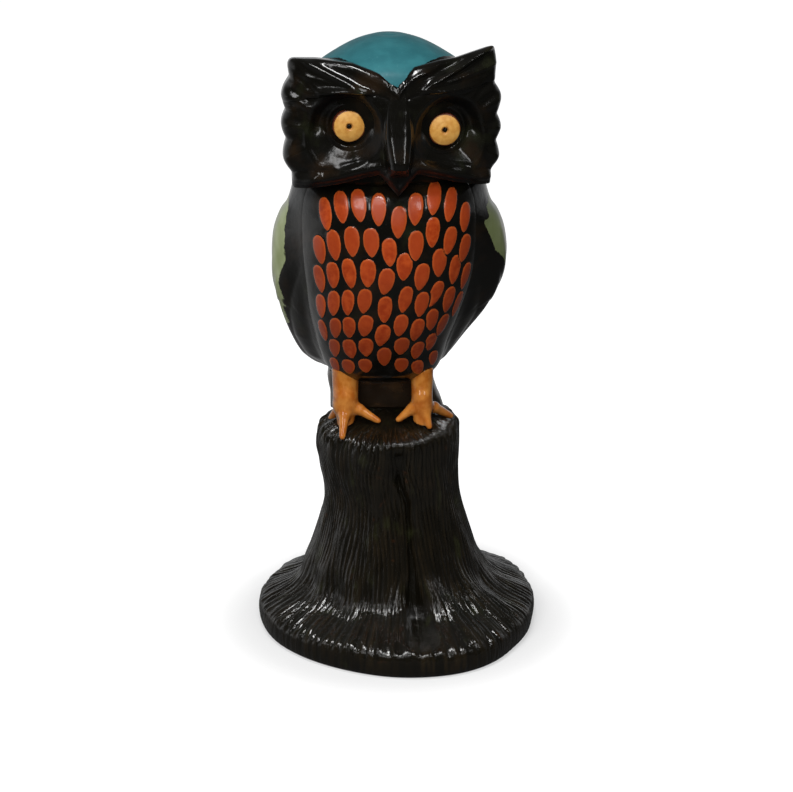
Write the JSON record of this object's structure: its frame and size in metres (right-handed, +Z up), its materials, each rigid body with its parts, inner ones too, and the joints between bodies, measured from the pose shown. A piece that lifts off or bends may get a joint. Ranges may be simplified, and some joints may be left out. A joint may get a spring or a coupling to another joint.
{
  "type": "owl figurine",
  "caption": "Glossy painted owl figurine with a scalloped face and ear tufts, standing on a grooved tree stump with a flared round base.",
  "frame": {"origin": "middle of the stump's flat underside", "axes": "+Z up along the height, the owl faces -Y, +X is the owl's left"},
  "size_m": [0.1414, 0.1447, 0.3],
  "materials": {
    "black_lacquer": "near-black painted wood under high-gloss lacquer",
    "bark": "dark brown stained wood, combed grooves, gloss lacquer",
    "blue_crown": "teal blue paint, satin gloss",
    "eye_ochre": "ochre yellow paint, satin",
    "wing_olive": "muted olive paint, satin gloss",
    "leg_ochre": "ochre-orange paint, gloss",
    "feather_orange": "burnt orange paint, gloss",
    "bare_wood": "unfinished wood"
  },
  "bodies": {
    "root": {"stump": "bark", "tail": "bark", "torso": "black_lacquer", "face_mask": "black_lacquer", "beak": "black_lacquer", "ear_tuft_left": "black_lacquer", "ear_tuft_right": "black_lacquer", "head": "blue_crown", "eye_left": "eye_ochre", "eye_right": "eye_ochre", "eye_pin_left": "black_lacquer", "eye_pin_right": "black_lacquer", "wing_left": "wing_olive", "wing_right": "wing_olive", "leg_left": "leg_ochre", "leg_right": "leg_ochre", "neck_dowel": "bare_wood", "body_dowel": "bare_wood", "foot_dowel_left": "bare_wood", "foot_dowel_right": "bare_wood", "wing_peg_upper_left": "bare_wood", "wing_peg_lower_left": "bare_wood", "wing_peg_upper_right": "bare_wood", "wing_peg_lower_right": "bare_wood", "tuft_peg_left": "bare_wood", "tuft_peg_right": "bare_wood"}
  },
  "joints": []
}
